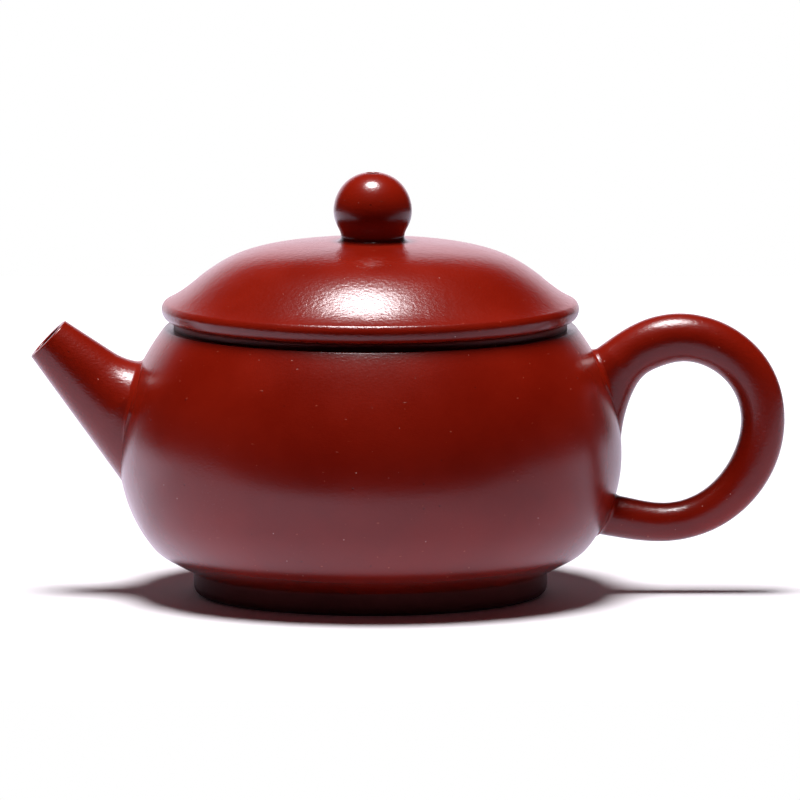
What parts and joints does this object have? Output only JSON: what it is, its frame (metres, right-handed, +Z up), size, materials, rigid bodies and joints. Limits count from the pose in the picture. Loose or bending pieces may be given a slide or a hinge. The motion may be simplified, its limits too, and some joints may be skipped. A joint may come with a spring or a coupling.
{
  "type": "yixing clay teapot",
  "caption": "Small red clay teapot with a straight spout, a loop handle, a pierced strainer behind the spout and a knobbed lid that lifts off.",
  "frame": {"origin": "centre of the foot ring's flat underside, on the pot's axis", "axes": "+Z up along the pot's axis, +X towards the handle, -X towards the spout"},
  "size_m": [0.1426, 0.095, 0.08],
  "materials": {
    "red_clay": "unglazed burnished red clay, satin with a soft sheen",
    "inner_clay": "unglazed red clay, matte, as left by the maker's tool"
  },
  "bodies": {
    "pot": {"base_disc": "red_clay", "foot_ring": "red_clay", "body_wall": "red_clay", "shoulder_disc": "red_clay", "mouth_ring": "red_clay", "spout": "red_clay", "spout_strainer": "inner_clay", "handle": "red_clay"},
    "lid": {"lid_cover": "red_clay", "lid_rim": "red_clay", "lid_flange": "red_clay", "knob": "red_clay"}
  },
  "joints": [
    {"name": "lid_lift", "type": "slide", "parent": "pot", "child": "lid", "axis": [0, 0, 1], "range_m": [0, 0.04]}
  ]
}
